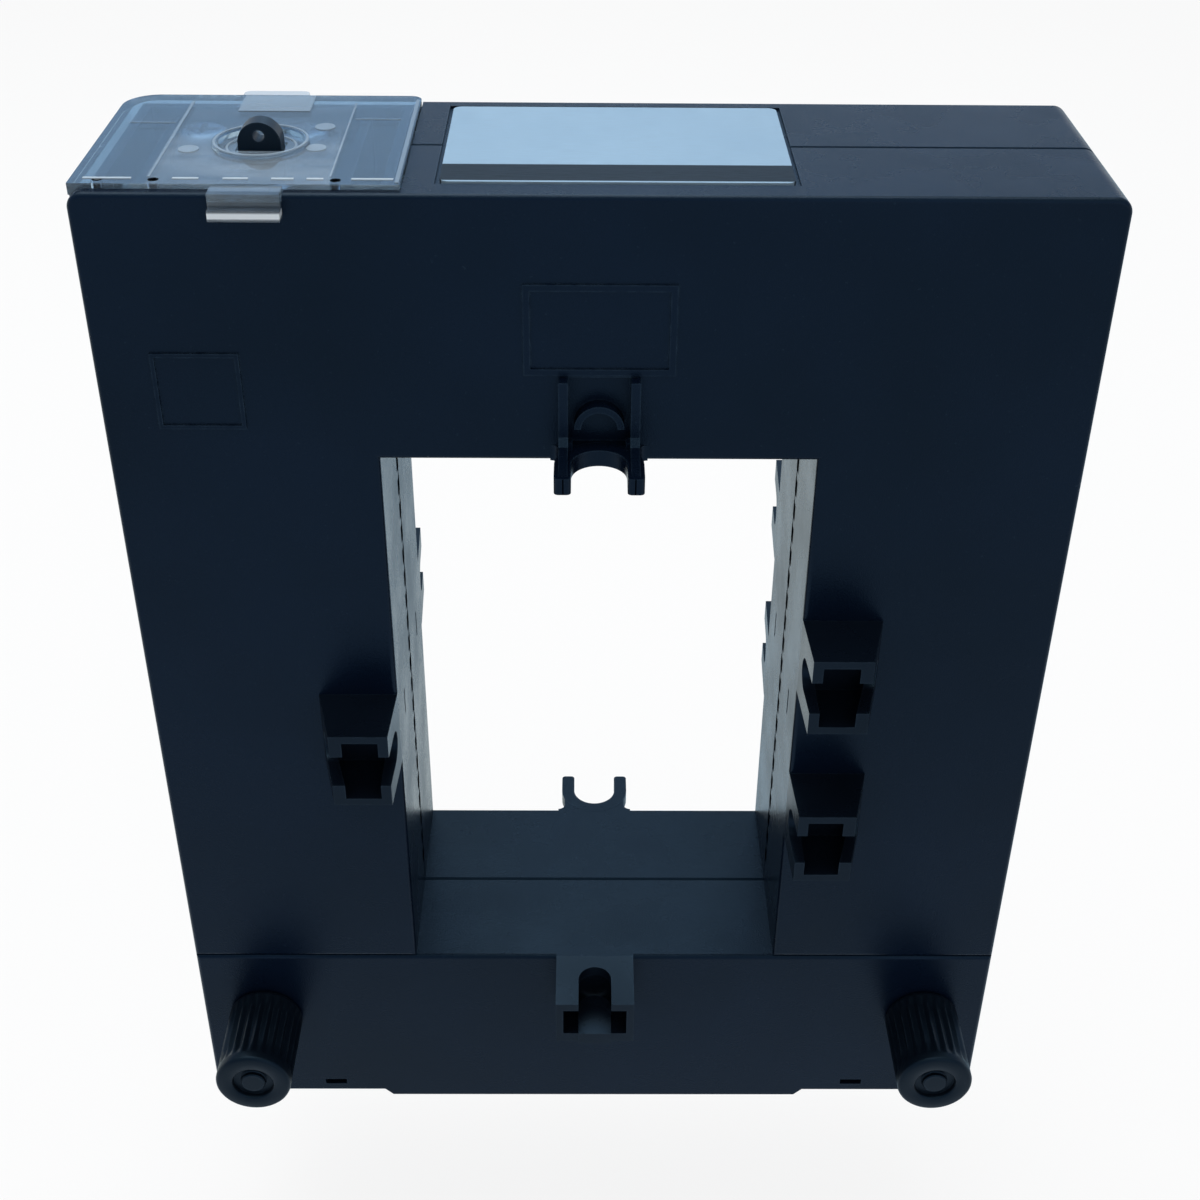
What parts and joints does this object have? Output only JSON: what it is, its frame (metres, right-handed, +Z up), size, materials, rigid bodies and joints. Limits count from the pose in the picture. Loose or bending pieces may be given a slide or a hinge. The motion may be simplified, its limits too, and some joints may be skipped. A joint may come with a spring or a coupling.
{
  "type": "current transformer",
  "caption": "Split-core current transformer with a rectangular busbar window, removable yoke, thumbscrews, busbar clips and a clear sealable terminal cover.",
  "frame": {"origin": "on the ground under the middle of the housing", "axes": "+Z up, +X to the right and -Y to the front with the thumbscrews"},
  "size_m": [0.114, 0.0538, 0.1458],
  "materials": {
    "black_plastic": "fine moulded grain, satin",
    "knob_plastic": "moulded, knurled",
    "clip_plastic": "moulded, satin",
    "clear_plastic": "clear, slightly blue",
    "label_foil": "silver foil, matt",
    "core_steel": "laminated sheet",
    "enamelled_copper": "enamelled wire",
    "former_nylon": "natural nylon",
    "zinc_steel": "zinc plated",
    "insert_brass": "turned",
    "lead_sleeve": "insulated wire"
  },
  "bodies": {
    "housing": {"front_shell": "black_plastic", "rear_shell": "black_plastic", "u_core": "core_steel", "left_bobbin": "former_nylon", "right_bobbin": "former_nylon", "left_winding": "enamelled_copper", "right_winding": "enamelled_copper", "left_leg_anchor": "zinc_steel", "right_leg_anchor": "zinc_steel", "terminal_tray": "black_plastic", "left_terminal_plate": "zinc_steel", "right_terminal_plate": "zinc_steel", "left_terminal_screw": "zinc_steel", "right_terminal_screw": "zinc_steel", "left_coil_lead": "lead_sleeve", "right_coil_lead": "lead_sleeve", "coil_link": "lead_sleeve", "rating_label": "label_foil", "right_upper_front_clip": "clip_plastic", "right_lower_front_clip": "clip_plastic", "left_front_clip": "clip_plastic", "right_upper_rear_clip": "clip_plastic", "right_lower_rear_clip": "clip_plastic", "left_rear_clip": "clip_plastic"},
    "yoke": {"yoke_front_shell": "black_plastic", "yoke_rear_shell": "black_plastic", "yoke_core": "core_steel", "left_insert": "insert_brass", "right_insert": "insert_brass", "bottom_front_clip": "clip_plastic"},
    "left_thumbscrew": {"left_thumb_knob": "knob_plastic", "left_thumb_stud": "zinc_steel"},
    "right_thumbscrew": {"right_thumb_knob": "knob_plastic", "right_thumb_stud": "zinc_steel"},
    "cover": {"terminal_cover": "clear_plastic"}
  },
  "joints": [
    {"name": "yoke_slide", "type": "slide", "parent": "housing", "child": "yoke", "axis": [0, 0, -1], "range_m": [0, 0.03]},
    {"name": "left_thumbscrew_turn", "type": "hinge", "parent": "yoke", "child": "left_thumbscrew", "pos_m": [-0.048, -0.02, 0.0175], "axis": [0, -1, 0], "continuous": true},
    {"name": "right_thumbscrew_turn", "type": "hinge", "parent": "yoke", "child": "right_thumbscrew", "pos_m": [0.048, -0.02, 0.0175], "axis": [0, -1, 0], "continuous": true},
    {"name": "cover_lift", "type": "slide", "parent": "housing", "child": "cover", "axis": [0, 0, 1], "range_m": [0, 0.03]}
  ]
}
